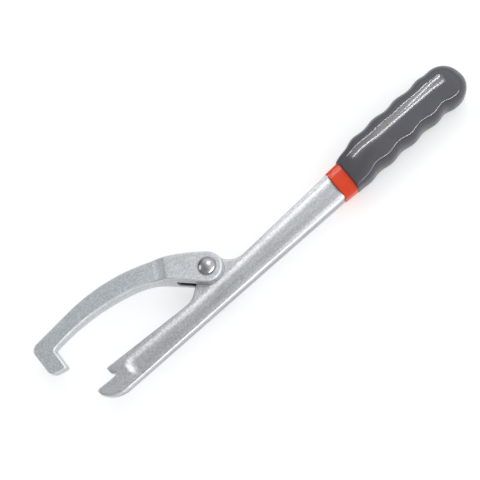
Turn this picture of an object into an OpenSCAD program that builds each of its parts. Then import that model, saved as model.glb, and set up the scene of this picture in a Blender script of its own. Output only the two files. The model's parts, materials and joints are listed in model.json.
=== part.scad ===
// Hinged hook wrench for hydrant caps and couplings.
// The tool lies flat: X runs along the bar towards the grip, the hook is on the +Y side,
// and Z = 0 is the surface it lies on. All outlines are laid out from the pivot's axis.

/* [Hinge] */
// Height of the parting plane above the surface
mid_z = 15.2; // [15.2:0.1:17]
// Diameter of the rivet's shank
rivet_d = 8; // [6:0.5:9]
// Gap between the shank and the lug's bore, on the radius
bore_gap = 0.08; // [0.02:0.01:0.1]
// Diameter of the rivet's domed heads
head_d = 13.2; // [12:0.2:14]
// Height of each domed head
head_h = 2.6; // [2:0.1:2.7]

/* [Hook fork] */
// Radius of the round end of the ears
ear_r = 13; // [12.6:0.1:13.4]
// Thickness over both ears
fork_t = 25; // [22:0.5:25]
// Width of the slot between the ears
slot_w = 10; // [9.8:0.1:10.6]
// Distance from the pivot to the bottom of the slot
slot_depth = 26.8; // [26:0.2:28]
// Direction that the fork points in, in degrees from +X
fork_dir = 153; // [150:1:156]
// Distance from the pivot to the top of the ramps
ramp_start = 32.4; // [32:0.2:34]
// Length of the ramps down to the arm
ramp_len = 10.5; // [8:0.5:12]

/* [Hook arm] */
// Thickness of the arm at the foot of the ramps
arm_t = 15.4; // [14:0.2:17]
// Thickness of the arm at the tooth
tooth_t = 8.6; // [8:0.2:10]
// Radius of the arm's back
back_r = 151.4; // [150:0.2:153]
// Direction from the pivot to the centre of the back's curve, in degrees
back_dir = 226.25; // [226:0.05:227]
// Angle on the back's curve at which it runs out straight
back_end = 93.6; // [93:0.1:95]
// Direction of the straight edge under the ears, in degrees
root_dir = 133; // [132:0.1:134]
// Length of the straight edge under the ears
root_len = 26.6; // [26:0.1:27.5]
// Radius of the inner curve next to the ears
root_r = 65.2; // [64:0.2:66]
// Radius of the inner curve over the jaw
jaw_r = 174; // [170:1:178]
// Angle at which the two inner curves meet
jaw_start = 72.8; // [72:0.1:74]

/* [Hook tooth] */
// Distance from the pivot to the tooth's outer face
tooth_out = 145.6; // [144:0.2:147]
// Distance from the pivot to the tooth's working face
tooth_in = 131; // [130:0.2:132]
// Height of the tooth's outer corner above the pivot's level
tip_out_y = 20; // [19:0.2:23]
// Height of the tooth's inner corner above the pivot's level
tip_in_y = 15.9; // [15:0.1:17]

/* [Bar] */
// Distance from the pivot to the bar's straight back edge
back_y = 29.5; // [29:0.1:30]
// The same distance where the bar enters the grip
collar_back_y = 30.6; // [30:0.1:31]
// Distance from the pivot's level to the front edge where the bar enters the grip
collar_front_y = 5.3; // [5:0.1:6]
// Distance from the pivot's level to the front edge beside the lug
waist_y = 8.4; // [8:0.1:9]
// Distance from the pivot's level to the front edge on the jaw side of the lug
jaw_waist_y = 9.6; // [9.2:0.1:10]
// Distance from the pivot to the point where the orange band starts
collar_x = 113.4; // [112:0.2:115]
// Distance from the pivot to the end of the tang
tang_end = 222; // [200:1:226]
// Thickness of the bar at the nose
nose_t = 7.8; // [7:0.2:8]
// Thickness of the bar at the pivot
lug_t = 9.4; // [9:0.1:9.5]
// Thickness of the bar at the collar
collar_t = 11; // [10:0.2:12]
// Thickness of the tang at its end
tang_t = 8; // [7:0.2:9]
// Depth of the recess in each face
recess_depth = 1.8; // [1:0.1:2.2]

/* [Lug] */
// Radius of the lug around the bore
lug_r = 12.4; // [12:0.1:12.5]
// Radius of the fillet between the lug and the shank
lug_fillet_r = 16; // [15:0.5:17]

/* [Nose] */
// Distance from the pivot to the end of the upper prong
upper_prong_x = 109; // [108.5:0.1:110]
// Distance from the pivot to the end of the lower prong
lower_prong_x = 125.1; // [124.5:0.1:126]
// Distance from the pivot to the bottom of the notch
notch_x = 105.4; // [105:0.1:106]
// Radius of the rounded back of the nose
nose_r = 21.6; // [21:0.1:22]

/* [Grip] */
// Distance from the pivot to the edge of the grey grip
grip_x = 126.2; // [125:0.2:127]
// Distance from the pivot to the end of the grip
grip_end = 248.5; // [246:0.5:250]
// Distance from the pivot's level to the middle of the grip's fat part
grip_mid_y = 14.4; // [14:0.1:15]
// Distance from the pivot's level to the middle of the grip's mouth
mouth_mid_y = 17.6; // [17.4:0.1:17.8]
// Width of the grip at its mouth
mouth_w = 28.8; // [28.8:0.1:29.6]
// Width of the grip between its waves
grip_w = 33.8; // [33:0.2:35]
// Thickness of the grip at its mouth
mouth_t = 16.8; // [16.8:0.2:18]
// Thickness of the grip's fat part
grip_t = 30; // [26:0.5:30]
// Height of the finger waves, each side of the mean line
wave_h = 0.9; // [0.4:0.1:1.2]
// Distance from one finger wave to the next
wave_pitch = 23.35; // [22:0.05:25]
// Radius of the round end
cap_r = 17.7; // [17.5:0.1:18.5]
// Distance by which the round end sits nearer the back edge than the rest
end_drop = 1; // [0:0.1:1.5]

/* [Orange sleeve] */
// Wall of the sleeve at its edge
sleeve_edge = 0.6; // [0.4:0.1:0.8]
// Wall of the sleeve where the grip covers it
sleeve_wall = 1.2; // [1:0.1:1.2]

/* [Hidden] */
steel = [0.66, 0.68, 0.7];
bright_steel = [0.78, 0.78, 0.8];
orange = [0.88, 0.27, 0.13];
grey = [0.3, 0.3, 0.32];

// Height of the blanks that the outlines are cut from
tall = 40;
// Lower and upper edge of the tang, below the pivot's level, and the radius of its corners
tang_low = 24;
tang_top = 7;
tang_corner = 4;
// How far the collar's section runs on under the grip, and how far its back edge falls
collar_run = 16;
collar_fall = 0.4;
// How far the recess runs on under the grip
recess_run = 20;
// How far the hook's tapering thickness runs on past the tooth
tooth_run = 10;
// Distance from the lower prong's end to the centre of the rounded back
nose_in = 19.9;
// Length over which the grip swells to its full size
swell_len = 38;
// Squareness of the grip's section at its mouth and on its fat part
mouth_square = 6;
body_square = 2.6;
// A crest of the finger waves on the hook's side, and how far the other side's lag, in pitches
crest = 172.6;
wave_lag = 0.47;
// Points around each section of the grip
ring_n = 32;

// The row's origin is under the middle of the tool's bounding box.
back_c = (back_r - ear_r) * [cos(back_dir), sin(back_dir)];
x_mid = (grip_end - tooth_out) / 2;
y_mid = (back_c.y + back_r - grip_mid_y - end_drop - cap_r) / 2;

// Points on a circle's arc, from angle a to angle b.
function arc(c, r, a, b, n) = [for (i = [0:n]) c + r * dir(a + (b - a) * i / n)];
function dir(a) = [cos(a), sin(a)];
function unit(v) = v / norm(v);
function smooth(t) = let (u = max(0, min(1, t))) u * u * (3 - 2 * u);

// A closed outline from [x, y, radius] corners, each rounded to its radius.
function rounded(p) = [for (i = [0:len(p) - 1]) each corner(
    p[(i + len(p) - 1) % len(p)], p[i], p[(i + 1) % len(p)])];
function corner(a, b, c) = b[2] == undef || b[2] == 0 ? [[b.x, b.y]] :
    let (
        at = [b.x, b.y],
        u = unit([a.x, a.y] - at),
        v = unit([c.x, c.y] - at),
        half = acos(u * v) / 2,
        mid = at + unit(u + v) * b[2] / sin(half),
        from = at + u * b[2] / tan(half) - mid,
        to = at + v * b[2] / tan(half) - mid,
        a0 = atan2(from.y, from.x),
        turn = atan2(from.x * to.y - from.y * to.x, from * to)
    ) arc(mid, b[2], a0, a0 + turn, 6);

// ---- outlines, from the pivot's axis ----

root_n = dir(root_dir - 90);
root_c = -ear_r * root_n + root_len * dir(root_dir) - root_r * root_n;
jaw_c = root_c + (root_r - jaw_r) * dir(jaw_start);
jaw_end = 90 + asin((tooth_in + jaw_c.x) / jaw_r);
back_run = back_c + back_r * dir(back_end);
back_fall = (tooth_out + back_run.x) / tan(back_end);

hook_outline = rounded(concat(
    arc([0, 0], ear_r, root_dir - 270, back_dir - 180, 24),
    arc(back_c, back_r, back_dir - 180, back_end, 20),
    [[-tooth_out, back_run.y + back_fall, 6],
     [-tooth_out, tip_out_y, 7],
     [-tooth_in, tip_in_y, 2.5],
     concat(jaw_c + jaw_r * dir(jaw_end), 1.8)],
    arc(jaw_c, jaw_r, jaw_end - 1.5, jaw_start, 10),
    arc(root_c, root_r, jaw_start, root_dir - 90, 8)));

fillet_x = sqrt(pow(lug_r + lug_fillet_r, 2) - pow(lug_fillet_r - waist_y, 2));
fillet_c = [fillet_x, lug_fillet_r - waist_y];
fillet_a = atan2(fillet_c.y, fillet_c.x);
nose_c = [-lower_prong_x + nose_in, nose_r - back_y];

bar_outline = rounded(concat(
    [[tang_end, -tang_low, tang_corner],
     [tang_end, -tang_top, tang_corner],
     [collar_x + collar_run, -collar_front_y, 0],
     [collar_x, -collar_front_y, 0]],
    arc(fillet_c, lug_fillet_r, 270, 180 + fillet_a, 8),
    arc([0, 0], lug_r, fillet_a, 178, 18),
    [[-26.7, -jaw_waist_y, 14],
     [-upper_prong_x, -4.1, 1.6],
     [-upper_prong_x + 0.2, -9.5, 3],
     [-notch_x, -13.5, 0.9],
     [-lower_prong_x, -12.4, 2.2]],
    arc(nose_c, nose_r, 207, 270, 10),
    [[collar_x, -collar_back_y, 0],
     [collar_x + collar_run, -collar_back_y + collar_fall, 0]]));

recess_outline = rounded([
    [-94.5, -10.6, 5.5],
    [-94.5, -24.2, 5.5],
    [collar_x + recess_run, -25.2, 5],
    [collar_x + recess_run, -9.2, 5],
    [10, -12.3, 0],
    [-30, -12.8, 0]]);

// ---- helpers ----

// Puts what is laid out from the pivot's axis and the parting plane into the row's frame.
module at_pivot() {
    translate([-x_mid, -y_mid, mid_z]) children();
}

// A slab whose half thickness follows [distance, half thickness] pairs along +X.
module slab(profile) {
    ends = concat(profile, [for (i = [len(profile) - 1:-1:0]) [profile[i].x, -profile[i].y]]);
    rotate([90, 0, 0])
        linear_extrude(height = 400, center = true)
            polygon(ends);
}

// Half thickness of the bar along its length, less a cut on each face.
function bar_profile(cut) = [
    [-130, nose_t / 2 - cut],
    [-100, nose_t / 2 - cut],
    [0, lug_t / 2 - cut],
    [collar_x, collar_t / 2 - cut],
    [collar_x + collar_run, collar_t / 2 - cut],
    [tang_end + 5, tang_t / 2 - cut]];

// ---- sub-parts ----

module bar_blank() {
    intersection() {
        linear_extrude(height = tall, center = true) polygon(bar_outline);
        slab(bar_profile(0));
    }
}

module recess() {
    difference() {
        linear_extrude(height = tall, center = true) polygon(recess_outline);
        slab(bar_profile(recess_depth));
    }
}

// The forged bar, with the notched nose, the lug and the tang.
module handle_bar() {
    color(steel) at_pivot()
        difference() {
            bar_blank();
            recess();
            cylinder(r = rivet_d / 2 + bore_gap, h = tall, center = true, $fn = 96);
        }
}

// The outside of the orange sleeve, which widens towards the grip.
module sleeve_blank() {
    w0 = sleeve_edge;
    w1 = sleeve_wall;
    intersection() {
        linear_extrude(height = tall, center = true)
            polygon(rounded([
                [collar_x, w0 - collar_front_y, 0],
                [collar_x, -w0 - collar_back_y, 0],
                [grip_x + 1, -w1 - collar_back_y + collar_fall, 0],
                [tang_end + w1, -tang_low - w1, tang_corner],
                [tang_end + w1, -tang_top + w1, tang_corner],
                [grip_x + 1, w1 - collar_front_y, 0]]));
        slab([
            [collar_x, collar_t / 2 + w0],
            [grip_x + 1, collar_t / 2 + w1],
            [tang_end + w1, tang_t / 2 + w1 + collar_fall]]);
    }
}

module inner_sleeve() {
    color(orange) at_pivot()
        difference() {
            sleeve_blank();
            bar_blank();
        }
}

// How far the grip has swollen to its full size, from 0 at the mouth to 1.
function swell(x) = let (t = max(0, min(1, (x - grip_x) / swell_len))) t * (2 - t);
// How far the grip has changed to the size of its round end, from 0 to 1.
function ending(x) = smooth((x - grip_end + 32) / 14);
// How much of the round end is left, from 1 at its start to 0 at the tip.
function cap(x) = let (t = max(0, (x - grip_end + cap_r) / cap_r)) sqrt(max(0, 1 - t * t));
// The waves fade in after the mouth and out before the round end.
function wave(x, crest) = wave_h * smooth((x - grip_x) / 20) * smooth((grip_end - 20 - x) / 8)
    * cos(360 * (x - crest) / wave_pitch);
function grip_half(x, crest) = cap(x) * (mouth_w / 2 + (grip_w - mouth_w) / 2 * swell(x)
    + (cap_r - grip_w / 2) * ending(x)
    + wave(x, crest));
function grip_side(x, crest, side) = side * grip_half(x, crest)
    - mouth_mid_y + (mouth_mid_y - grip_mid_y) * swell(x) - end_drop * ending(x);
function grip_thick(x) = cap(x) * (mouth_t / 2 + (grip_t - mouth_t) / 2 * swell(x));

// One ring of the grip: a superellipse, squarer at the mouth than on the fat part.
// The waves on the two sides are about half a pitch apart.
// A sine or cosine bent towards a squarer section, with its sign kept.
function power(v, n) = sign(v) * pow(abs(v), 2 / n);
function ring(x) =
    let (
        top = grip_side(x, crest, 1),
        low = grip_side(x, crest - wave_pitch * wave_lag, -1),
        z = grip_thick(x),
        n = mouth_square + (body_square - mouth_square) * swell(x)
    ) [for (i = [0:ring_n - 1]) [
        x,
        (top + low) / 2 + (top - low) / 2 * power(cos(360 * i / ring_n), n),
        z * power(sin(360 * i / ring_n), n)]];

// Stations along the grip: even along the waves and close together on the round end.
cap_start = grip_end - cap_r;
stations = concat(
    [for (i = [0:35]) grip_x + (cap_start - grip_x) * i / 36],
    [for (a = [0:7.5:86]) cap_start + cap_r * sin(a)]);

module grip_blank() {
    last = len(stations) - 1;
    points = concat([for (x = stations) each ring(x)], [[grip_end, -grip_mid_y - end_drop, 0]]);
    tip = len(points) - 1;
    sides = [for (s = [0:last - 1], i = [0:ring_n - 1])
        let (a = s * ring_n, j = (i + 1) % ring_n)
        [a + i, a + j, a + ring_n + j, a + ring_n + i]];
    mouth = [[for (i = [ring_n - 1:-1:0]) i]];
    crown = [for (i = [0:ring_n - 1])
        [last * ring_n + i, last * ring_n + (i + 1) % ring_n, tip]];
    polyhedron(points, concat(sides, mouth, crown), convexity = 4);
}

module outer_grip() {
    color(grey) at_pivot()
        difference() {
            grip_blank();
            sleeve_blank();
        }
}

// The forged hook: fork, ramps, curved arm and tooth.
module hook_arm() {
    color(steel) at_pivot()
        difference() {
            intersection() {
                linear_extrude(height = tall, center = true) polygon(hook_outline);
                rotate([0, 0, fork_dir])
                    slab([
                        [-40, fork_t / 2],
                        [ramp_start, fork_t / 2],
                        [ramp_start + ramp_len, arm_t / 2],
                        [tooth_out, tooth_t / 2],
                        [tooth_out + tooth_run, tooth_t / 2]]);
            }
            rotate([0, 0, fork_dir])
                translate([slot_depth - 100, -50, -slot_w / 2])
                    cube([100, 100, slot_w]);
            cylinder(d = rivet_d, h = tall, center = true, $fn = 96);
        }
}

// A domed head: a short rim under a cap cut from a ball.
module rivet_head() {
    rim = 0.6;
    rise = head_h - rim;
    ball_r = (pow(head_d / 2, 2) + rise * rise) / (2 * rise);
    translate([0, 0, fork_t / 2])
        intersection() {
            cylinder(d = head_d, h = head_h, $fn = 96);
            translate([0, 0, head_h - ball_r]) sphere(r = ball_r, $fn = 128);
        }
}

// The solid rivet that is the hinge pin.
module pivot_rivet() {
    color(bright_steel) at_pivot()
        union() {
            cylinder(d = rivet_d, h = fork_t, center = true, $fn = 96);
            rivet_head();
            mirror([0, 0, 1]) rivet_head();
        }
}

handle_bar();
inner_sleeve();
outer_grip();
hook_arm();
pivot_rivet();
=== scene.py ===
"""Hydrant wrench: a forged bar with a moulded grip, and a forged hook that swings on a rivet."""

import json
import math

import bpy
import numpy as np
from mathutils import Euler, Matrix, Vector


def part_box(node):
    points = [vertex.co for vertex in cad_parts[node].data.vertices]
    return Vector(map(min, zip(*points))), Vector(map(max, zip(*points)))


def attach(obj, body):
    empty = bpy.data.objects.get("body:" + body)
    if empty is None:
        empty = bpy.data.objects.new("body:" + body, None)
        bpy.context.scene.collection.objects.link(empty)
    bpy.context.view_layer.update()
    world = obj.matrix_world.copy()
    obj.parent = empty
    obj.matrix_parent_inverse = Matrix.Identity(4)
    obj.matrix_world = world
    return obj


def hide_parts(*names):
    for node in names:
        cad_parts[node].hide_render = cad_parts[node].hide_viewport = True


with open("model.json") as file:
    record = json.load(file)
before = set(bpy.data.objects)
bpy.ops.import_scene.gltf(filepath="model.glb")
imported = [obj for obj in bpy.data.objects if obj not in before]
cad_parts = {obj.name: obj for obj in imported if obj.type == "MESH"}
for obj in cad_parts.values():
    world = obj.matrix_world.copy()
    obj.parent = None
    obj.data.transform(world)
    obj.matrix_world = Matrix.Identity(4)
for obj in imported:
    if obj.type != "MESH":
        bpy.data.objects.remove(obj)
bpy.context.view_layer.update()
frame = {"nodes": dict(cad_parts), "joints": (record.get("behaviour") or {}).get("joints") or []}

MM = 0.001
HINGE = frame["joints"][0]
PIVOT = Vector(HINGE["pos_m"])

# ---------------------------------------------------------------------------
# Meshes
# ---------------------------------------------------------------------------


def new_piece(name, points, faces, material, body, node):
    """A finished piece that stands for a CAD node. Its points are in metres from the pivot."""
    mesh = bpy.data.meshes.new(name)
    placed = np.asarray(points) + np.array(PIVOT)
    mesh.from_pydata(placed.tolist(), [], np.asarray(faces).tolist())
    mesh.polygons.foreach_set("use_smooth", [True] * len(mesh.polygons))
    mesh.materials.append(material)
    piece = bpy.data.objects.new(name, mesh)
    bpy.context.scene.collection.objects.link(piece)
    hand_over(piece, body, node)
    return piece


def hand_over(piece, body, node):
    """Hangs the piece on the empty of the body it rides on, and hides the CAD node that it stands
    for.
    """
    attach(piece, body)
    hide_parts(node)


def paint(piece, name, values):
    """Stores one value for each vertex, for the piece's material to read."""
    attribute = piece.data.attributes.new(name, "FLOAT", "POINT")
    attribute.data.foreach_set("value", np.clip(values, 0, 1).astype(np.float32))


# ---------------------------------------------------------------------------
# Forgings: a solid given by a distance formula, then skinned
# ---------------------------------------------------------------------------

# Room left round a forging's box when it is skinned
MARGIN = 1.5 * MM
# Limits that keep the settling steady near sharp corners
LONGEST_MOVE = 0.4 * MM
LEAST_SLOPE = 0.2
# Depth below the upper face where the painted shade of side walls, recesses and slot begins, and
# the depth over which it takes over
DEPTH_SHADE_START = 1.0 * MM
DEPTH_SHADE_RUN = 1.2 * MM


def cad_triangles(node):
    """The CAD node's triangles, in metres from the pivot."""
    mesh = frame["nodes"][node].data
    mesh.calc_loop_triangles()
    points = np.array([v.co for v in mesh.vertices]) - np.array(PIVOT)
    return points[np.array([t.vertices[:] for t in mesh.loop_triangles])]


def cut_below_face(triangles, half_thickness, depth):
    """The flat lines where a forging is cut a little below its upper face."""
    height = triangles[:, :, 2] - half_thickness(triangles[:, :, 0], triangles[:, :, 1]) + depth
    lines = []
    for triangle, level in zip(triangles, height):
        above = level > 0
        if above.all() or not above.any():
            continue
        ends = []
        for a, b in ((0, 1), (1, 2), (2, 0)):
            if above[a] != above[b]:
                part = level[a] / (level[a] - level[b])
                ends.append(triangle[a, :2] + part * (triangle[b, :2] - triangle[a, :2]))
        lines.append(ends)
    return np.array(lines)


def loops_of(lines):
    """Sorts cut lines into closed loops."""
    rest = [tuple(map(tuple, np.round(line, 7))) for line in lines]
    rest = [line for line in rest if line[0] != line[1]]
    meets = {}
    for index, line in enumerate(rest):
        for end in line:
            meets.setdefault(end, []).append(index)
    loops = []
    unused = set(range(len(rest)))
    while unused:
        at = min(unused)
        unused.discard(at)
        loop = [at]
        end = rest[at][1]
        while True:
            onward = [i for i in meets[end] if i in unused]
            if not onward:
                break
            at = onward[0]
            unused.discard(at)
            loop.append(at)
            end = rest[at][1] if rest[at][0] == end else rest[at][0]
        loops.append(np.array([rest[i] for i in loop]))
    return sorted(loops, key=lambda loop: -np.ptp(loop[:, 0, 0]))


def flat_distance(lines, x, y):
    """Distance from each point to a closed outline, negative inside it."""
    x, y = np.broadcast_arrays(x, y)
    shape = x.shape
    x = np.ravel(x)
    y = np.ravel(y)
    nearest = np.full(x.shape, np.inf)
    inside = np.zeros(x.shape, bool)
    for (x0, y0), (x1, y1) in lines:
        dx = x1 - x0
        dy = y1 - y0
        along = np.clip(((x - x0) * dx + (y - y0) * dy) / (dx * dx + dy * dy), 0, 1)
        nearest = np.minimum(nearest, (x - x0 - along * dx) ** 2 + (y - y0 - along * dy) ** 2)
        if dy:
            crossed = ((y0 > y) != (y1 > y)) & (x < (y - y0) * dx / dy + x0)
            inside ^= crossed
    return np.where(inside, -1, 1).reshape(shape) * np.sqrt(nearest).reshape(shape)


def both(a, b, radius):
    """What lies inside both solids, with the edge between them rounded."""
    over = np.hypot(np.maximum(a + radius, 0), np.maximum(b + radius, 0))
    return np.minimum(np.maximum(a, b), -radius) + over


def skin(solid, low, high, step):
    """A closed mesh over a solid's surface, one vertex to each cell that the surface crosses."""
    axes = [np.arange(low[i], high[i] + step, step) for i in range(3)]
    field = solid(axes[0][:, None, None], axes[1][None, :, None], axes[2][None, None, :])
    size = np.array(field.shape)
    quads = []
    spots = []
    for axis in range(3):
        first = [slice(None)] * 3
        second = [slice(None)] * 3
        first[axis] = slice(0, -1)
        second[axis] = slice(1, None)
        here = field[tuple(first)]
        there = field[tuple(second)]
        edge = np.argwhere((here < 0) != (there < 0))
        here = here[tuple(edge.T)]
        there = there[tuple(edge.T)]
        spot = edge.astype(float)
        spot[:, axis] += here / (here - there)
        u = (axis + 1) % 3
        v = (axis + 2) % 3
        ring = []
        for du, dv in ((0, 0), (1, 0), (1, 1), (0, 1)):
            cell = edge.copy()
            cell[:, u] -= du
            cell[:, v] -= dv
            ring.append(np.ravel_multi_index(cell.T, size))
        ring = np.array(ring).T
        out = here < 0
        ring[~out] = ring[~out][:, ::-1]
        quads.append(ring)
        spots.append(np.repeat(spot, 4, axis=0))
    quads = np.concatenate(quads)
    index = np.unique(quads.ravel(), return_inverse=True)[1]
    faces = index.reshape(-1, 4)
    spots = np.concatenate(spots)
    count = np.bincount(index)
    points = np.stack([np.bincount(index, spots[:, i]) / count for i in range(3)], axis=1)
    return np.array([a[0] for a in axes]) + points * step, faces


def settle(solid, points, rounds=2, probe=2e-5):
    """Moves each point straight onto the solid's surface, by at most LONGEST_MOVE a round."""
    for _ in range(rounds):
        value = solid(*points.T)
        probed = [solid(*(points + step).T) for step in np.eye(3) * probe]
        slope = np.stack([(beside - value) / probe for beside in probed], axis=1)
        steep = np.maximum((slope**2).sum(axis=1), LEAST_SLOPE)
        move = np.clip(value / steep, -LONGEST_MOVE, LONGEST_MOVE)
        points = points - slope * move[:, None]
    return points


def edge_wear(side, face, reach):
    """1 on an edge between two surfaces, fading to 0 over the given reach."""
    near = 1 - np.maximum(np.abs(side), np.abs(face)) / reach
    return np.clip(near, 0, 1) ** 0.7


def make_forging(name, solid, sides, half, box, cell, wear_reach, material, body, node):
    """Skins a forging and paints its edges, and painted shade on its walls and recesses. Also gives
    its points and their depths.
    """
    low = np.array(box[0] - PIVOT) - MARGIN
    high = np.array(box[1] - PIVOT) + MARGIN
    points, faces = skin(solid, low, high, cell)
    points = settle(solid, points)
    forging = new_piece(name, points, faces, material, body, node)
    x, y, z = points.T
    side = sides(x, y, z)
    face = np.abs(z) - half(x, y)
    paint(forging, "edge", edge_wear(side, face, wear_reach))
    # The wall value is painted shade: it darkens the side walls, the recesses and the slot by their
    # depth below the upper face
    paint(forging, "wall", (-face - DEPTH_SHADE_START) / DEPTH_SHADE_RUN)
    return forging, points, side, face


# ---- the hook ----

FORK_TOWARD = np.array([math.cos(math.radians(153)), math.sin(math.radians(153))])
EAR_HALF = (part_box("hook_arm")[1].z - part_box("hook_arm")[0].z) / 2
RAMP_TOP = 32.4 * MM
RAMP_FOOT = 42.9 * MM
ARM_HALF = 7.7 * MM
TOOTH_HALF = 4.3 * MM
TOOTH_OUT = PIVOT.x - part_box("hook_arm")[0].x
SLOT_HALF = 5 * MM
SLOT_DEPTH = 26.8 * MM
SHANK_R = 4 * MM
HOOK_DRAFT = math.tan(math.radians(5))
HOOK_EDGE = 1.1 * MM
SLOT_EDGE = 0.5 * MM
HOOK_BORE_EDGE = 0.3 * MM
HOOK_CELL = 0.6 * MM
HOOK_CUT_DEPTH = 0.2 * MM
THICKNESS_AT = ([RAMP_TOP, RAMP_FOOT, TOOTH_OUT], [EAR_HALF, ARM_HALF, TOOTH_HALF])
# Samples over which the ramp's top and foot are eased, 0.25 mm apart
EASE_SAMPLES = 11
# Radius of the ring of painted shade that darkens the ear round the rivet's head
SHADE_RING_R = 7.0 * MM


def along_fork(x, y):
    """How far a point lies from the pivot in the direction that the fork points."""
    return x * FORK_TOWARD[0] + y * FORK_TOWARD[1]


def hook_half(x, y):
    """Half thickness of the hook as the CAD model has it."""
    return np.interp(along_fork(x, y), *THICKNESS_AT)


def soft_hook_half(x, y):
    """The same with the ramp's top and foot eased, as a die leaves them."""
    reach = np.arange(-30, 160, 0.25) * MM
    sharp = np.interp(reach, *THICKNESS_AT)
    ease = np.hanning(EASE_SAMPLES)
    padded = np.pad(sharp, EASE_SAMPLES // 2, mode="edge")
    eased = np.convolve(padded, ease / ease.sum(), mode="valid")
    return np.interp(along_fork(x, y), reach, eased)


hook_cut = cut_below_face(cad_triangles("hook_arm"), hook_half, HOOK_CUT_DEPTH)
HOOK_OUTLINE = loops_of(hook_cut)[0]


def hook_sides(x, y, z):
    """Distance outside the hook's drafted side wall."""
    return flat_distance(HOOK_OUTLINE, x, y) + np.abs(z) * HOOK_DRAFT


def hook_solid(x, y, z):
    """Distance outside the hook."""
    blank = both(hook_sides(x, y, z), np.abs(z) - soft_hook_half(x, y), HOOK_EDGE)
    slot = np.maximum(np.abs(z) - SLOT_HALF, along_fork(x, y) - SLOT_DEPTH)
    slotted = both(blank, -slot, SLOT_EDGE)
    return both(slotted, SHANK_R - np.hypot(x, y), HOOK_BORE_EDGE)


def make_hook(material):
    """The hook, rough round the fork, with painted shade inside the slot and in a ring round the
    rivet's head.
    """
    hook, points, side, _ = make_forging(
        "forged_hook", hook_solid, hook_sides, soft_hook_half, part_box("hook_arm"), HOOK_CELL,
        1.6 * MM, material, "hook", "hook_arm")
    x, y, z = points.T
    along = along_fork(x, y)
    paint(hook, "rough_zone", 1 - (along - RAMP_TOP) / (8 * MM))
    # Painted shade: dark on the slot's inner faces, fading out towards the slot's edges, and a dark
    # ring on the ear round the rivet's head
    reach = 0.3 * MM
    in_slot = (np.abs(z) < SLOT_HALF + reach) * (along < SLOT_DEPTH + reach)
    deep = np.minimum(-side, SLOT_DEPTH - along) / (1.5 * MM) * in_slot
    ring = 0.75 * (1 - np.abs(np.hypot(x, y) - SHADE_RING_R) / (0.9 * MM))
    paint(hook, "painted_shade", np.maximum(deep, ring))
    return hook


# ---- the bar ----

BAR_DRAFT = math.tan(math.radians(5))
BAR_EDGE = 2.0 * MM
WEB_EDGE = 1.6 * MM
WEB_RIM = 1.6 * MM
WEB_DEPTH = 1.9 * MM
WEB_RUN = 1.3
BORE_R = SHANK_R + 0.08 * MM
BAR_BORE_EDGE = 0.4 * MM
BAR_CELL = 0.62 * MM
BAR_CUT_DEPTH = 0.9 * MM

bar_triangles = cad_triangles("handle_bar")
bar_reach, bar_row = np.unique(np.round(bar_triangles[:, :, 0].ravel(), 6), return_inverse=True)
bar_height = np.zeros(len(bar_reach))
np.maximum.at(bar_height, bar_row, bar_triangles[:, :, 2].ravel())


def bar_half(x, y):
    """Half thickness of the bar along its length, read from the CAD model."""
    return np.interp(x, bar_reach, bar_height)


BAR_OUTLINE, WEB_OUTLINE = loops_of(cut_below_face(bar_triangles, bar_half, BAR_CUT_DEPTH))[:2]


def bar_sides(x, y, z):
    """Distance outside the bar's drafted side wall."""
    return flat_distance(BAR_OUTLINE, x, y) + np.abs(z) * BAR_DRAFT


def web_pocket(x, y, z):
    """Distance outside the shallow recess of either face, whose walls slope gently."""
    floor = bar_half(x, y) - WEB_DEPTH
    up = np.abs(z) - floor
    spread = (WEB_DEPTH - up) * WEB_RUN
    wall = (flat_distance(WEB_OUTLINE, x, y) + spread) / math.hypot(1, WEB_RUN)
    return both(wall, -up, WEB_EDGE)


def bar_solid(x, y, z):
    """Distance outside the bar."""
    blank = both(bar_sides(x, y, z), np.abs(z) - bar_half(x, y), BAR_EDGE)
    sunk = both(blank, -web_pocket(x, y, z), WEB_RIM)
    return both(sunk, BORE_R - np.hypot(x, y), BAR_BORE_EDGE)


def make_bar(material):
    """The bar, rough on the floor of its recesses."""
    bar, _, side, face = make_forging(
        "forged_bar", bar_solid, bar_sides, bar_half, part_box("handle_bar"), BAR_CELL,
        1.8 * MM, material, "handle", "handle_bar")
    sunk = -(face + BAR_CUT_DEPTH) / (0.6 * MM)
    paint(bar, "rough_zone", sunk * (side < -1.5 * MM))
    return bar


# ---------------------------------------------------------------------------
# The rivet: a lathed profile
# ---------------------------------------------------------------------------


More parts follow.
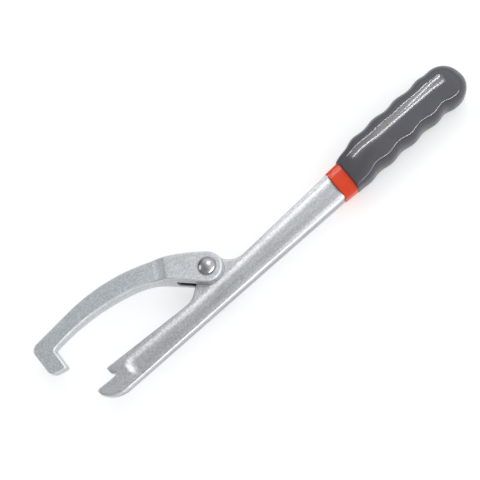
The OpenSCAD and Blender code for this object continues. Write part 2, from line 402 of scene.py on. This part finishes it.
def make_rivet(material):
    """A solid rivet with a domed head on each side, turned about the hinge's axis."""
    low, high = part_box("pivot_rivet")
    head_r = (high.x - low.x) / 2
    top = (high.z - low.z) / 2
    rim = 0.7 * MM
    dome = top - EAR_HALF - rim
    dome_r = (head_r**2 + dome**2) / (2 * dome)
    spread = math.asin(head_r / dome_r)
    # Up the shank, out under the head and round its rim, then over the dome
    half = [(SHANK_R, 0), (SHANK_R, EAR_HALF), (head_r - 0.5 * MM, EAR_HALF)]
    half += [(head_r - 0.15 * MM, EAR_HALF + 0.12 * MM), (head_r, EAR_HALF + 0.4 * MM)]
    half += [(head_r - 0.04 * MM, EAR_HALF + rim)]
    dome_rings = 12
    for step in range(1, dome_rings + 1):
        angle = spread * (1 - step / (dome_rings + 0.5))
        half.append((dome_r * math.sin(angle), top - dome_r * (1 - math.cos(angle))))
    profile = [(r, -z) for r, z in reversed(half[1:])] + half
    around = 72
    points = [(0, 0, -top)]
    for r, z in profile:
        for i in range(around):
            angle = 2 * math.pi * i / around
            points.append((r * math.cos(angle), r * math.sin(angle), z))
    points.append((0, 0, top))
    faces = []
    for row in range(len(profile) - 1):
        for i in range(around):
            a = 1 + row * around + i
            b = 1 + row * around + (i + 1) % around
            faces.append((a, b, b + around, a + around))
    last = 1 + (len(profile) - 1) * around
    faces += [(0, 1 + (i + 1) % around, 1 + i) for i in range(around)]
    faces += [(len(points) - 1, last + i, last + (i + 1) % around) for i in range(around)]
    mesh = bpy.data.meshes.new("domed_rivet")
    mesh.from_pydata([Vector(p) + PIVOT for p in points], [], faces)
    mesh.polygons.foreach_set("use_smooth", [True] * len(mesh.polygons))
    mesh.set_sharp_from_angle(angle=math.radians(50))
    mesh.materials.append(material)
    rivet = bpy.data.objects.new("domed_rivet", mesh)
    bpy.context.scene.collection.objects.link(rivet)
    hand_over(rivet, "hook", "pivot_rivet")
    return rivet


# ---------------------------------------------------------------------------
# Mouldings: the sleeve and the grip, as Geometry Nodes
# ---------------------------------------------------------------------------


class Value:
    """A number field in a node tree. Plain arithmetic on it adds the Math nodes."""

    def __init__(self, tree, socket):
        self.tree = tree
        self.socket = socket

    def math(self, operation, *others):
        node = self.tree.nodes.new("ShaderNodeMath")
        node.operation = operation
        for place, value in enumerate((self, *others)):
            if isinstance(value, Value):
                self.tree.links.new(value.socket, node.inputs[place])
            else:
                node.inputs[place].default_value = value
        return Value(self.tree, node.outputs[0])

    def __add__(self, other):
        return self.math("ADD", other)

    def __sub__(self, other):
        return self.math("SUBTRACT", other)

    def __mul__(self, other):
        return self.math("MULTIPLY", other)

    def __truediv__(self, other):
        return self.math("DIVIDE", other)

    def limited(self, low, high):
        return self.math("MAXIMUM", low).math("MINIMUM", high)

    def smooth(self):
        """Eases a value from 0 to 1."""
        part = self.limited(0.0, 1.0)
        return part * part * ((part * -2.0) + 3.0)


def mix(a, b, part):
    """a where part is 0, b where it is 1."""
    return (b - a) * part + a


def wave(x, crest, pitch):
    """A cosine along the moulding, 1 at the crest."""
    turn = x * (2 * math.pi) / pitch
    return (turn - crest * (2 * math.pi) / pitch).math("COSINE")


def one_side(side):
    """1 at the middle of one side of the section, falling to 0 towards the flat faces."""
    return side.math("MAXIMUM", 0.0).math("POWER", SIDE_POWER)


def rounded_power(value, power):
    """Keeps the sign of a cosine or sine and raises its size to a power."""
    return value.math("SIGN") * value.math("ABSOLUTE").math("POWER", power)


SECTION_SIZES = ("Start", "Rise", "Quickness", "Middle at start", "Middle", "Width at start",
                 "Width", "Thickness at start", "Thickness", "Squareness at start", "Squareness",
                 "Flare", "Bow")
WAVE_SIZES = ("Wave height", "Wave pitch", "Front crest", "Back crest", "Waves end", "Round end",
              "End drop", "End growth")
# How far the mouth's edge leans along the moulding, and the length over which the lean fades
EDGE_SLANT = 0.09
SLANT_RUN = 30 * MM
FLARE_RUN = 13.8 * MM
# Lengths over which the finger waves come in and die away, and how closely they keep to the sides
WAVES_IN = 20 * MM
WAVES_OUT = 8 * MM
SIDE_POWER = 2.5
# Where the grip starts to drop and thicken before its end, and over what length
ENDING_BEFORE_END = 32 * MM
ENDING_RUN = 14 * MM
# Radius of the rounded edge at the grip's mouth
LIP_R = 1.2 * MM
# The sheet's seam lies between the section's sides: on a side's middle line, where the sine is
# nearly 0, raising it to a power would part the seam's two edges
SEAM = math.pi / 4
# Share of the sheet's rows that line the cavity
CAVITY_SHARE = 0.12
WELD = 2e-6


def section_point(sizes, x, angle, waves=None):
    """The point at an angle on a rounded oblong section that swells along the moulding."""
    part = ((x - sizes["Start"]) / sizes["Rise"]).limited(0.0, 1.0)
    rise = mix(part.smooth(), part * (part * -1.0 + 2.0), sizes["Quickness"])
    flare = ((x - sizes["Start"]) / FLARE_RUN).limited(0.0, 1.0) * sizes["Flare"]
    half_y = mix(sizes["Width at start"], sizes["Width"], rise) * 0.5 + flare
    half_z = mix(sizes["Thickness at start"], sizes["Thickness"], rise) * 0.5 + flare
    middle = mix(sizes["Middle at start"], sizes["Middle"], rise)
    squareness = mix(sizes["Squareness at start"], sizes["Squareness"], rise)
    power = squareness.math("POWER", -1.0) * 2.0
    side = rounded_power(angle.math("COSINE"), power)
    if waves:
        fade_in = ((x - sizes["Start"]) / WAVES_IN).smooth()
        swing = fade_in * ((waves["Waves end"] - x) / WAVES_OUT).smooth() * waves["Wave height"]
        front = swing * wave(x, waves["Front crest"], waves["Wave pitch"]) * one_side(side)
        back = swing * wave(x, waves["Back crest"], waves["Wave pitch"]) * one_side(side * -1.0)
        ending = ((x - waves["End"] + ENDING_BEFORE_END) / ENDING_RUN).smooth()
        half_y = half_y + ending * waves["End growth"]
        middle = middle - ending * waves["End drop"]
        past = ((x - waves["End"]) / waves["Round end"] + 1.0).limited(0.0, 1.0)
        close = (past * past * -1.0 + 1.0).math("MAXIMUM", 0.0).math("SQRT")
        lip = (((x - sizes["Start"]) / LIP_R) * -1.0 + 1.0).limited(0.0, 1.0)
        shrink = ((lip * lip * -1.0 + 1.0).math("SQRT") * -1.0 + 1.0) * LIP_R
        y = middle + ((half_y - shrink) * side + front - back) * close
        half_z = (half_z - shrink) * close
    else:
        y = middle + half_y * side
    z = half_z * rounded_power(angle.math("SINE"), power)
    near_mouth = ((x - sizes["Start"]) / SLANT_RUN * -1.0 + 1.0).smooth()
    slant = (y - middle) * EDGE_SLANT
    bow = angle.math("SINE").math("ABSOLUTE") * sizes["Bow"]
    return x + near_mouth * (slant + bow), y, z


def joined(tree, x, y, z):
    """A vector from three number fields."""
    node = tree.nodes.new("ShaderNodeCombineXYZ")
    for place, value in enumerate((x, y, z)):
        tree.links.new(value.socket, node.inputs[place])
    return node.outputs[0]


def chosen(tree, test, a, b):
    """b where the test holds, a elsewhere, for vectors."""
    node = tree.nodes.new("GeometryNodeSwitch")
    node.input_type = "VECTOR"
    tree.links.new(test.socket, node.inputs["Switch"])
    tree.links.new(a, node.inputs["False"])
    tree.links.new(b, node.inputs["True"])
    return node.outputs[0]


def moulding_tree():
    """A closed moulding made of one rolled sheet.

    Its rows line the cavity from the deep end to the mouth, then cover the outside to the tip.
    """
    tree = bpy.data.node_groups.new("moulded_over_tang", "GeometryNodeTree")
    tree.interface.new_socket("Geometry", in_out="INPUT", socket_type="NodeSocketGeometry")
    outside = {"Outside " + name: name for name in SECTION_SIZES}
    cavity = {"Cavity " + name: name for name in SECTION_SIZES}
    for name in [*outside, *cavity, *WAVE_SIZES, "End", "Cavity end"]:
        tree.interface.new_socket(name, in_out="INPUT", socket_type="NodeSocketFloat")
    for name in ("Rows", "Points around"):
        tree.interface.new_socket(name, in_out="INPUT", socket_type="NodeSocketInt")
    tree.interface.new_socket("Pivot", in_out="INPUT", socket_type="NodeSocketVector")
    tree.interface.new_socket("Material", in_out="INPUT", socket_type="NodeSocketMaterial")
    tree.interface.new_socket("Geometry", in_out="OUTPUT", socket_type="NodeSocketGeometry")
    entry = tree.nodes.new("NodeGroupInput")
    read = {s.name: Value(tree, s) for s in entry.outputs if s.name}

    grid = tree.nodes.new("GeometryNodeMeshGrid")
    tree.links.new(read["Rows"].socket, grid.inputs["Vertices X"])
    tree.links.new(read["Points around"].socket, grid.inputs["Vertices Y"])
    place = tree.nodes.new("GeometryNodeInputPosition")
    split = tree.nodes.new("ShaderNodeSeparateXYZ")
    tree.links.new(place.outputs[0], split.inputs[0])
    along = Value(tree, split.outputs["X"]) + 0.5
    angle = (Value(tree, split.outputs["Y"]) + 0.5) * (2 * math.pi) + SEAM

    outer_part = ((along - CAVITY_SHARE) / (1 - CAVITY_SHARE)).limited(0.0, 1.0)
    inner_part = (along / CAVITY_SHARE).limited(0.0, 1.0)
    eased = ((outer_part * math.pi).math("COSINE") * -0.5) + 0.5
    outer_sizes = {short: read[long] for long, short in outside.items()}
    cavity_sizes = {short: read[long] for long, short in cavity.items()}
    waves = {name: read[name] for name in WAVE_SIZES}
    waves["End"] = read["End"]
    start = outer_sizes["Start"]
    outer_x = mix(start, read["End"], eased)
    outer_x, outer_y, outer_z = section_point(outer_sizes, outer_x, angle, waves)
    inner_x = mix(read["Cavity end"], start, inner_part)
    inner_x, inner_y, inner_z = section_point(cavity_sizes, inner_x, angle)
    open_part = inner_part.math("GREATER_THAN", 0.001)
    inner_y = mix(cavity_sizes["Middle"], inner_y, open_part)
    inner_z = inner_z * open_part

    is_outside = along.math("GREATER_THAN", CAVITY_SHARE + 1e-5)
    inner_point = joined(tree, inner_x, inner_y, inner_z)
    outer_point = joined(tree, outer_x, outer_y, outer_z)
    point = chosen(tree, is_outside, inner_point, outer_point)
    shift = tree.nodes.new("ShaderNodeVectorMath")
    shift.operation = "ADD"
    tree.links.new(point, shift.inputs[0])
    tree.links.new(read["Pivot"].socket, shift.inputs[1])
    put = tree.nodes.new("GeometryNodeSetPosition")
    tree.links.new(grid.outputs["Mesh"], put.inputs["Geometry"])
    tree.links.new(shift.outputs[0], put.inputs["Position"])
    merge = tree.nodes.new("GeometryNodeMergeByDistance")
    merge.inputs["Distance"].default_value = WELD
    smooth = tree.nodes.new("GeometryNodeSetShadeSmooth")
    realize = tree.nodes.new("GeometryNodeRealizeInstances")
    material = tree.nodes.new("GeometryNodeSetMaterial")
    leave = tree.nodes.new("NodeGroupOutput")
    tree.links.new(read["Material"].socket, material.inputs["Material"])
    chain = [put, merge, smooth, realize, material, leave]
    for first, second in zip(chain, chain[1:]):
        tree.links.new(first.outputs["Geometry"], second.inputs["Geometry"])
    return tree


def make_moulding(tree, name, values, material, node):
    """Runs the moulding tree with one set of sizes and keeps the result as a plain mesh."""
    carrier = bpy.data.objects.new(name + "_rule", bpy.data.meshes.new(name + "_rule"))
    bpy.context.scene.collection.objects.link(carrier)
    modifier = carrier.modifiers.new("moulding", "NODES")
    modifier.node_group = tree
    values = {**values, "Pivot": tuple(PIVOT), "Material": material}
    for socket in tree.interface.items_tree:
        if socket.in_out == "INPUT" and socket.name in values:
            modifier[socket.identifier] = values[socket.name]
    seen = carrier.evaluated_get(bpy.context.evaluated_depsgraph_get())
    mesh = bpy.data.meshes.new_from_object(seen)
    mesh.name = name
    bpy.data.objects.remove(carrier)
    piece = bpy.data.objects.new(name, mesh)
    bpy.context.scene.collection.objects.link(piece)
    outward(mesh)
    hand_over(piece, "handle", node)
    return piece


def outward(mesh):
    """Turns the whole shell over if its volume comes out negative."""
    mesh.calc_loop_triangles()
    points = np.array([v.co for v in mesh.vertices])
    corners = points[np.array([t.vertices[:] for t in mesh.loop_triangles])]
    if (corners[:, 0] * np.cross(corners[:, 1], corners[:, 2])).sum() < 0:
        mesh.flip_normals()


def section(prefix, **sizes):
    """Section sizes for one surface of a moulding, in millimetres but for the plain numbers."""
    plain = ("Squareness at start", "Squareness", "Quickness")
    named = {key.replace("_", " "): value for key, value in sizes.items()}
    return {f"{prefix} {key}": value * (1 if key in plain else MM) for key, value in named.items()}


SLEEVE_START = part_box("inner_sleeve")[0].x - PIVOT.x
SLEEVE_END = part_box("inner_sleeve")[1].x - PIVOT.x
GRIP_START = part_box("outer_grip")[0].x - PIVOT.x
GRIP_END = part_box("outer_grip")[1].x - PIVOT.x
GRIP_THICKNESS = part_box("outer_grip")[1].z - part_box("outer_grip")[0].z
NO_WAVES = {"Wave height": 0.0, "Wave pitch": 1.0, "Front crest": 0.0, "Back crest": 0.0,
            "End drop": 0.0, "End growth": 0.0}
MOUTH_BOW = 1.3
POINTS_AROUND = 129


def make_sleeve(tree, material):
    """The orange under-sleeve, of which only the band at the collar shows."""
    start = SLEEVE_START / MM
    length = (SLEEVE_END - SLEEVE_START) / MM
    values = section("Outside", Start=start, Rise=length, Quickness=0, Middle_at_start=-17.95,
                     Middle=-15.5, Width_at_start=26.5, Width=19.4, Thickness_at_start=12.2,
                     Thickness=10.2, Squareness_at_start=4.8, Squareness=5.5, Flare=0.6,
                     Bow=MOUTH_BOW)
    values |= section("Cavity", Start=start, Rise=length, Quickness=0, Middle_at_start=-17.95,
                      Middle=-15.5, Width_at_start=25.3, Width=17.2, Thickness_at_start=11.0,
                      Thickness=8.2, Squareness_at_start=9, Squareness=9, Flare=0.1,
                      Bow=MOUTH_BOW)
    values |= NO_WAVES
    values |= {"Waves end": SLEEVE_END, "Round end": 0.3 * MM, "End": SLEEVE_END,
               "Cavity end": SLEEVE_END - 1 * MM, "Rows": 150, "Points around": POINTS_AROUND}
    return make_moulding(tree, "orange_sleeve", values, material, "inner_sleeve")


def make_grip(tree, material):
    """The grey grip. Its back waves lag the front ones by a little under half a pitch."""
    start = GRIP_START / MM
    pitch = 23.35
    crest = 172.6
    lag = 0.47
    values = section("Outside", Start=start, Rise=38, Quickness=1, Middle_at_start=-17.6,
                     Middle=-14.4, Width_at_start=28.6, Width=33.8, Thickness_at_start=18.0,
                     Thickness=GRIP_THICKNESS / MM, Squareness_at_start=4.0, Squareness=2.6,
                     Flare=0, Bow=MOUTH_BOW)
    values |= section("Cavity", Start=start, Rise=95, Quickness=0, Middle_at_start=-17.8,
                      Middle=-15.5, Width_at_start=27.5, Width=20.2, Thickness_at_start=13.3,
                      Thickness=11, Squareness_at_start=6, Squareness=6, Flare=0, Bow=MOUTH_BOW)
    values |= {"Wave height": 0.9 * MM, "Wave pitch": pitch * MM, "Front crest": crest * MM,
               "Back crest": (crest - pitch * lag) * MM, "Waves end": GRIP_END - 20 * MM,
               "End drop": 1.0 * MM, "End growth": 0.8 * MM, "Round end": 17.7 * MM,
               "End": GRIP_END, "Cavity end": SLEEVE_END + 0.5 * MM, "Rows": 260,
               "Points around": POINTS_AROUND}
    return make_moulding(tree, "wavy_grip", values, material, "outer_grip")


# ---------------------------------------------------------------------------
# Materials
# ---------------------------------------------------------------------------


def new_group(name, inputs, outputs):
    """A shader node group. Inputs are (name, kind, default), outputs (name, kind)."""
    group = bpy.data.node_groups.new(name, "ShaderNodeTree")
    sockets = group.interface
    for label, kind, default in inputs:
        socket = sockets.new_socket(label, in_out="INPUT", socket_type="NodeSocket" + kind)
        socket.default_value = default
    for label, kind in outputs:
        sockets.new_socket(label, in_out="OUTPUT", socket_type="NodeSocket" + kind)
    return group, group.nodes.new("NodeGroupInput"), group.nodes.new("NodeGroupOutput")


def add(tree, kind, **settings):
    """Adds a node. A setting named in_X goes to its input X, and a socket value is linked."""
    node = tree.nodes.new(kind)
    for key, value in settings.items():
        if not key.startswith("in_"):
            setattr(node, key, value)
    for key, value in settings.items():
        if key.startswith("in_"):
            label = key[3:].replace("_", " ")
            socket = node.inputs[int(label)] if label.isdigit() else node.inputs[label]
            if isinstance(value, bpy.types.NodeSocket):
                tree.links.new(value, socket)
            else:
                socket.default_value = value
    return node


def noise(tree, where, scale, detail, roughness):
    node = add(tree, "ShaderNodeTexNoise", in_Vector=where, in_Scale=scale, in_Detail=detail,
               in_Roughness=roughness)
    return node.outputs["Fac"]


def stretch(tree, value, low, high, to_low=0.0, to_high=1.0):
    """Maps low to high onto to_low to to_high, and holds the ends."""
    node = add(tree, "ShaderNodeMapRange", in_Value=value, in_From_Min=low, in_From_Max=high,
               in_To_Min=to_low, in_To_Max=to_high)
    return node.outputs[0]


def blend_colours(tree, share, a, b, mode="MIX"):
    """a where share is 0, b where it is 1. A colour is a socket or four numbers."""
    node = add(tree, "ShaderNodeMix", data_type="RGBA", blend_type=mode, in_0=share, in_6=a,
               in_7=b)
    return node.outputs[2]


def blend_values(tree, share, a, b):
    """The same for plain numbers."""
    return add(tree, "ShaderNodeMix", data_type="FLOAT", in_0=share, in_2=a, in_3=b).outputs[0]


def stored(tree, name):
    """A value that was painted on the piece, 0 where the piece has none."""
    return add(tree, "ShaderNodeAttribute", attribute_name=name).outputs["Fac"]


def joined_values(tree, operation, a, b):
    """One Math node on two values."""
    return add(tree, "ShaderNodeMath", operation=operation, in_0=a, in_1=b).outputs[0]


def grain_group():
    """Fine pits and a coarser orange peel, as a height and as a value to tint by."""
    group, entry, leave = new_group(
        "cast_grain",
        [("Fine size", "Float", 2200.0), ("Coarse size", "Float", 700.0),
         ("Coarse share", "Float", 0.5)],
        [("Height", "Float"), ("Speckle", "Float"), ("Cloud", "Float")],
    )
    where = group.nodes.new("ShaderNodeTexCoord").outputs["Object"]
    fine = noise(group, where, entry.outputs["Fine size"], 2.0, 0.6)
    coarse = noise(group, where, entry.outputs["Coarse size"], 3.0, 0.55)
    cloud = noise(group, where, 26.0, 3.0, 0.5)
    height = blend_values(group, entry.outputs["Coarse share"], fine, coarse)
    group.links.new(height, leave.inputs["Height"])
    group.links.new(stretch(group, height, 0.32, 0.68), leave.inputs["Speckle"])
    group.links.new(stretch(group, cloud, 0.35, 0.65), leave.inputs["Cloud"])
    return group


def plating_group(grain):
    """Zinc plating: colour, roughness and bump from its grain, edges and rough zones, with painted
    shade on its walls and recesses, in the hook's slot and round the rivet's head.
    """
    group, entry, leave = new_group(
        "zinc_plating",
        [("Face colour", "Color", (0.6, 0.62, 0.64, 1)),
         ("Zone colour", "Color", (0.7, 0.71, 0.72, 1)),
         ("Depth shade colour", "Color", (0.5, 0.51, 0.53, 1)),
         ("Edge colour", "Color", (0.85, 0.86, 0.87, 1)),
         ("Roughness", "Float", 0.4), ("Zone roughness", "Float", 0.5),
         ("Bump", "Float", 0.3), ("Zone bump", "Float", 0.6),
         ("Fine size", "Float", 2200.0), ("Coarse size", "Float", 700.0)],
        [("Color", "Color"), ("Roughness", "Float"), ("Normal", "Vector")],
    )
    made = group.nodes.new("ShaderNodeGroup")
    made.node_tree = grain
    group.links.new(entry.outputs["Fine size"], made.inputs["Fine size"])
    group.links.new(entry.outputs["Coarse size"], made.inputs["Coarse size"])
    zone = stored(group, "rough_zone")
    colour = blend_colours(group, zone, entry.outputs["Face colour"], entry.outputs["Zone colour"])
    # Painted shade: darker by depth below the upper face, on the side walls, in the recesses and in
    # the slot
    colour = blend_colours(group, stored(group, "wall"), colour, entry.outputs["Depth shade colour"])
    speck = stretch(group, made.outputs["Speckle"], 0.0, 1.0, 0.6, 1.26)
    cloud = stretch(group, made.outputs["Cloud"], 0.0, 1.0, 0.94, 1.04)
    tint = joined_values(group, "MULTIPLY", speck, cloud)
    colour = blend_colours(group, 1.0, colour, grey_of(group, tint), "MULTIPLY")
    patchy = stretch(group, made.outputs["Cloud"], 0.1, 0.9, 0.45, 1.0)
    worn = joined_values(group, "MULTIPLY", stored(group, "edge"), patchy)
    colour = blend_colours(group, worn, colour, entry.outputs["Edge colour"])
    # Painted shade: near black where the hook is painted dark, inside its slot and in a ring round
    # the rivet's head
    colour = blend_colours(group, stored(group, "painted_shade"), colour, (0.07, 0.08, 0.11, 1))
    group.links.new(colour, leave.inputs["Color"])
    rough = blend_values(group, zone, entry.outputs["Roughness"], entry.outputs["Zone roughness"])
    patch = stretch(group, made.outputs["Speckle"], 0.0, 1.0, -0.05, 0.07)
    group.links.new(joined_values(group, "ADD", rough, patch), leave.inputs["Roughness"])
    strength = blend_values(group, zone, entry.outputs["Bump"], entry.outputs["Zone bump"])
    bump = add(group, "ShaderNodeBump", in_Height=made.outputs["Height"], in_Strength=strength,
               in_Distance=0.5 * MM)
    group.links.new(bump.outputs[0], leave.inputs["Normal"])
    return group


def grey_of(tree, value):
    """A grey of the given brightness."""
    node = add(tree, "ShaderNodeCombineColor", in_Red=value, in_Green=value, in_Blue=value)
    return node.outputs[0]


def moulded_group(grain):
    """A smooth skin, plastic or bright metal: a fine texture, and darker patches from handling."""
    group, entry, leave = new_group(
        "moulded_plastic",
        [("Colour", "Color", (0.1, 0.1, 0.11, 1)),
         ("Handled colour", "Color", (0.08, 0.07, 0.07, 1)),
         ("Roughness", "Float", 0.25), ("Handled roughness", "Float", 0.36),
         ("Bump", "Float", 0.1)],
        [("Color", "Color"), ("Roughness", "Float"), ("Normal", "Vector")],
    )
    made = group.nodes.new("ShaderNodeGroup")
    made.node_tree = grain
    made.inputs["Fine size"].default_value = 1500.0
    made.inputs["Coarse size"].default_value = 260.0
    handled = stretch(group, made.outputs["Cloud"], 0.25, 1.0, 0.0, 0.8)
    fresh = {label: entry.outputs[label] for label in ("Colour", "Roughness")}
    colour = blend_colours(group, handled, fresh["Colour"], entry.outputs["Handled colour"])
    speck = stretch(group, made.outputs["Speckle"], 0.0, 1.0, 0.95, 1.05)
    colour = blend_colours(group, 1.0, colour, grey_of(group, speck), "MULTIPLY")
    group.links.new(colour, leave.inputs["Color"])
    rough = blend_values(group, handled, fresh["Roughness"], entry.outputs["Handled roughness"])
    group.links.new(rough, leave.inputs["Roughness"])
    bump = add(group, "ShaderNodeBump", in_Height=made.outputs["Height"],
               in_Strength=entry.outputs["Bump"], in_Distance=0.08 * MM)
    group.links.new(bump.outputs[0], leave.inputs["Normal"])
    return group


def new_material(name, group, group_values, shader_values):
    """A material that takes its surface from a group and has its constants on the shader."""
    material = bpy.data.materials.new(name)
    material.use_nodes = True
    tree = material.node_tree
    shader = tree.nodes["Principled BSDF"]
    effect = tree.nodes.new("ShaderNodeGroup")
    effect.node_tree = group
    for label, value in group_values.items():
        value = (*value, 1) if isinstance(value, tuple) else value
        effect.inputs[label].default_value = value
    for label in ("Roughness", "Normal"):
        tree.links.new(effect.outputs[label], shader.inputs[label])
    tree.links.new(effect.outputs["Color"], shader.inputs["Base Color"])
    for label, value in shader_values.items():
        shader.inputs[label].default_value = value
    return material


grain = grain_group()
plating = plating_group(grain)
moulded = moulded_group(grain)

# Each plating's wall colour is the painted shade of its side walls and recesses
bar_steel = new_material(
    "zinc_forged_bar", plating,
    {"Face colour": (0.66, 0.67, 0.685), "Zone colour": (0.68, 0.69, 0.705),
     "Depth shade colour": (0.44, 0.45, 0.47), "Edge colour": (0.88, 0.89, 0.9),
     "Roughness": 0.32, "Zone roughness": 0.36, "Bump": 0.35, "Zone bump": 1.0},
    {"Metallic": 0.92},
)
hook_steel = new_material(
    "zinc_forged_hook", plating,
    {"Face colour": (0.70, 0.74, 0.765), "Zone colour": (0.66, 0.675, 0.695),
     "Depth shade colour": (0.60, 0.61, 0.63), "Edge colour": (0.88, 0.90, 0.91),
     "Roughness": 0.36, "Zone roughness": 0.42, "Bump": 0.3, "Zone bump": 0.8},
    {"Metallic": 0.92},
)
rivet_steel = new_material(
    "bright_rivet", moulded,
    {"Colour": (0.5, 0.5, 0.51), "Handled colour": (0.4, 0.4, 0.42), "Roughness": 0.18,
     "Handled roughness": 0.3, "Bump": 0.15},
    {"Metallic": 1.0},
)
orange_plastic = new_material(
    "orange_moulding", moulded,
    {"Colour": (0.78, 0.055, 0.006), "Handled colour": (0.72, 0.047, 0.006),
     "Roughness": 0.12, "Handled roughness": 0.16, "Bump": 0.03},
    {"Specular IOR Level": 0.4},
)
grey_plastic = new_material(
    "grey_moulding", moulded,
    {"Colour": (0.066, 0.066, 0.078), "Handled colour": (0.062, 0.057, 0.061),
     "Roughness": 0.09, "Handled roughness": 0.13, "Bump": 0.03},
    {"Specular IOR Level": 0.4},
)

# ---------------------------------------------------------------------------
# The pieces
# ---------------------------------------------------------------------------

# The collections are not shown. Each is only a list of the pieces that some lamps may reach.
forgings = bpy.data.collections.new("forgings")
forgings.objects.link(make_bar(bar_steel))
forgings.objects.link(make_hook(hook_steel))
forgings.objects.link(make_rivet(rivet_steel))
moulding = moulding_tree()
band = bpy.data.collections.new("band")
band.objects.link(make_sleeve(moulding, orange_plastic))
handgrip = bpy.data.collections.new("handgrip")
handgrip.objects.link(make_grip(moulding, grey_plastic))

# ---------------------------------------------------------------------------
# Floor, light and camera
# ---------------------------------------------------------------------------

CAMERA_FROM_PIVOT = Vector((-9.4, -239.9, 641.3)) * MM
CAMERA_TURN = Euler([math.radians(v) for v in (17.988, 11.021, -40.388)])


def make_camera():
    camera = bpy.data.objects.new("camera", bpy.data.cameras.new("camera"))
    camera.data.sensor_width = 36
    camera.data.lens = 66.29
    camera.location = PIVOT + CAMERA_FROM_PIVOT
    camera.rotation_euler = CAMERA_TURN
    bpy.context.scene.collection.objects.link(camera)
    bpy.context.scene.camera = camera


def make_floor():
    """A plain white floor that glows a little, so that it stays pale away from the lamps."""
    side = 3.0
    mesh = bpy.data.meshes.new("studio_floor")
    corners = [(-side, -side, 0), (side, -side, 0), (side, side, 0), (-side, side, 0)]
    mesh.from_pydata(corners, [], [(0, 1, 2, 3)])
    floor = bpy.data.objects.new("studio_floor", mesh)
    bpy.context.scene.collection.objects.link(floor)
    material = bpy.data.materials.new("studio_white")
    material.use_nodes = True
    shader = material.node_tree.nodes["Principled BSDF"]
    shader.inputs["Base Color"].default_value = (0.9, 0.9, 0.9, 1)
    shader.inputs["Roughness"].default_value = 0.9
    shader.inputs["Emission Color"].default_value = (1, 1, 1, 1)
    shader.inputs["Emission Strength"].default_value = 0.45
    mesh.materials.append(material)


def make_light(name, size, place, aim, power, lit=None):
    """A rectangular soft box that faces a point, with sizes and places in metres from the pivot.

    With a collection in `lit`, it reaches only that collection's pieces.
    """
    light = bpy.data.lights.new(name, "AREA")
    light.shape = "RECTANGLE"
    light.size, light.size_y = size
    light.energy = power
    lamp = bpy.data.objects.new(name, light)
    lamp.location = PIVOT + Vector(place)
    lamp.rotation_euler = (Vector(aim) - Vector(place)).to_track_quat("-Z", "Y").to_euler()
    if lit:
        lamp.light_linking.receiver_collection = lit
    bpy.context.scene.collection.objects.link(lamp)


def make_soft_box(lit):
    """A dim panel with brighter edges, which the grip mirrors as a long outlined patch."""
    centre = Vector((0.24, 0.415, 0.675))
    aim = Vector((0.19, -0.015, 0))
    length = 0.56
    width = 0.3
    tube = 0.018
    facing = (aim - centre).normalized()
    across = facing.cross(Vector((1, 0, 0))).normalized()
    make_light("panel", (length, width), centre, aim, 1.5, lit)
    for sign in (-1, 1):
        edge = centre + across * sign * width / 2
        make_light("panel_edge", (length, tube), edge, aim, 1.35, lit)
    make_light("panel_end", (tube, width), centre + Vector((length / 2, 0, 0)), aim, 0.6, lit)


make_camera()
make_floor()
make_soft_box(handgrip)
make_light("low_strip", (1.0, 0.05), (0.35, -0.85, 0.31), (0.15, 0, 0), 4, handgrip)
make_light("band_back_strip", (0.9, 0.02), (0.25, -0.85, 0.31), (0.12, 0, 0), 1.0, band)
make_light("band_front_strip", (0.6, 0.018), (0.25, 0.338, 0.725), (0.12, 0, 0), 0.8, band)
make_light("band_rim_strip", (0.6, 0.018), (0.25, 0.47, 0.647), (0.12, 0, 0), 1.1, band)
make_light("front_box", (1.2, 0.25), (0.2, -0.6, 0.8), (0.1, 0, 0), 4, forgings)
make_light("collar_box", (0.35, 0.35), (0.42, 0.36, 0.95), (0.09, -0.015, 0), 0.85, forgings)
make_light("ramp_box", (0.4, 0.3), (-0.585, 0.648, 0.493), (-0.03, 0.02, 0), 0.6, forgings)
make_light("overhead", (0.6, 0.6), (0.9, 0.9, 1.6), (0, 0, 0), 2)


def make_surround():
    """A soft surround: dim beyond the hook and the nose, bright above, in front and at the grip."""
    world = bpy.data.worlds.new("studio")
    world.use_nodes = True
    tree = world.node_tree
    background = tree.nodes["Background"]
    background.inputs["Color"].default_value = (0.96, 0.98, 1.0, 1)
    toward = tree.nodes.new("ShaderNodeTexCoord").outputs["Generated"]
    split = add(tree, "ShaderNodeSeparateXYZ", in_Vector=toward)
    height = stretch(tree, split.outputs["Z"], 0.15, 0.45, 0.08, 0.58)
    towards_grip = stretch(tree, split.outputs["X"], -0.2, 0.3, -0.2, 0.4)
    in_front = stretch(tree, split.outputs["Y"], 0.0, -0.8, 0.0, 0.25)
    level = joined_values(tree, "ADD", height, towards_grip)
    level = joined_values(tree, "ADD", level, in_front)
    tree.links.new(level, background.inputs["Strength"])
    bpy.context.scene.world = world


make_surround()
bpy.context.scene.view_settings.view_transform = "Standard"
